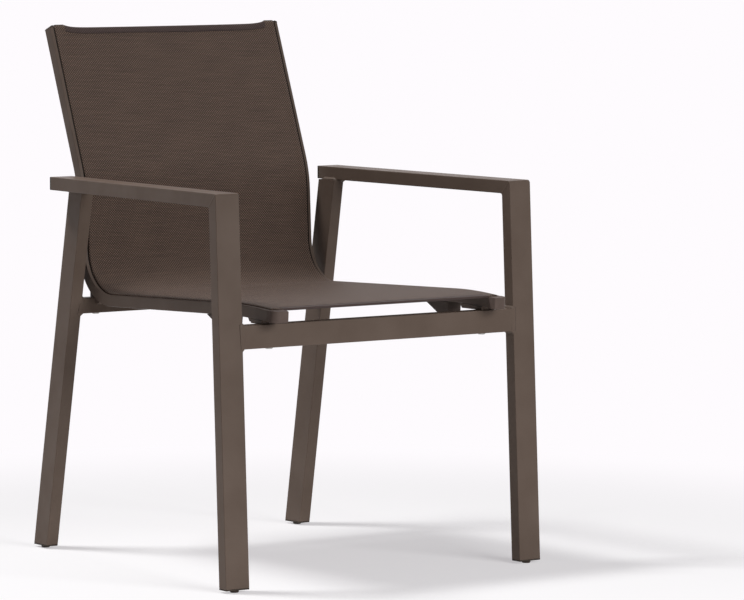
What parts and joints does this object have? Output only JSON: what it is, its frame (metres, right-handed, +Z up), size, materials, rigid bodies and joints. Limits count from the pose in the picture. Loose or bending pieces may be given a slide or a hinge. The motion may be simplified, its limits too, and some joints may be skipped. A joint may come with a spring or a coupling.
{
  "type": "sling patio armchair",
  "caption": "Stacking patio armchair: rectangular tube side frames with flat arms carry a one-piece woven sling seat and back on bent rails.",
  "frame": {"origin": "on the floor, under the middle of the chair's bounding box", "axes": "+Z up, +Y towards the back of the chair, +X towards the chair's right side as seen from the front"},
  "size_m": [0.602, 0.6612, 0.8491],
  "materials": {
    "frame_coat": "satin grey-brown powder coat on aluminium tube",
    "rail_coat": "satin grey-brown powder coat on aluminium extrusion",
    "sling_mesh": "dark brown plain-weave coated polyester mesh",
    "spline_plastic": "dark extruded cord",
    "cap_plastic": "matte dark brown moulded plastic",
    "pad_plastic": "matte charcoal moulded plastic",
    "bolt_steel": "plain stainless steel"
  },
  "bodies": {
    "root": {"front_leg_left": "frame_coat", "front_leg_right": "frame_coat", "rear_leg_left": "frame_coat", "rear_leg_right": "frame_coat", "armrest_left": "frame_coat", "armrest_right": "frame_coat", "front_rail": "frame_coat", "rear_rail": "frame_coat", "sling_rail_left": "rail_coat", "sling_rail_right": "rail_coat", "seat_spacer_left": "rail_coat", "seat_spacer_right": "rail_coat", "rear_saddle_left": "rail_coat", "rear_saddle_right": "rail_coat", "sling": "sling_mesh", "spline_left": "spline_plastic", "spline_right": "spline_plastic", "armrest_plug_left": "cap_plastic", "armrest_plug_right": "cap_plastic", "front_foot_left": "cap_plastic", "front_foot_right": "cap_plastic", "rear_foot_left": "cap_plastic", "rear_foot_right": "cap_plastic", "nose_cap_left": "cap_plastic", "nose_cap_right": "cap_plastic", "top_cap_left": "cap_plastic", "top_cap_right": "cap_plastic", "stacking_pad_left": "pad_plastic", "stacking_pad_right": "pad_plastic", "front_bolt_left": "bolt_steel", "front_bolt_right": "bolt_steel", "rear_bolt_left": "bolt_steel", "rear_bolt_right": "bolt_steel"}
  },
  "joints": []
}
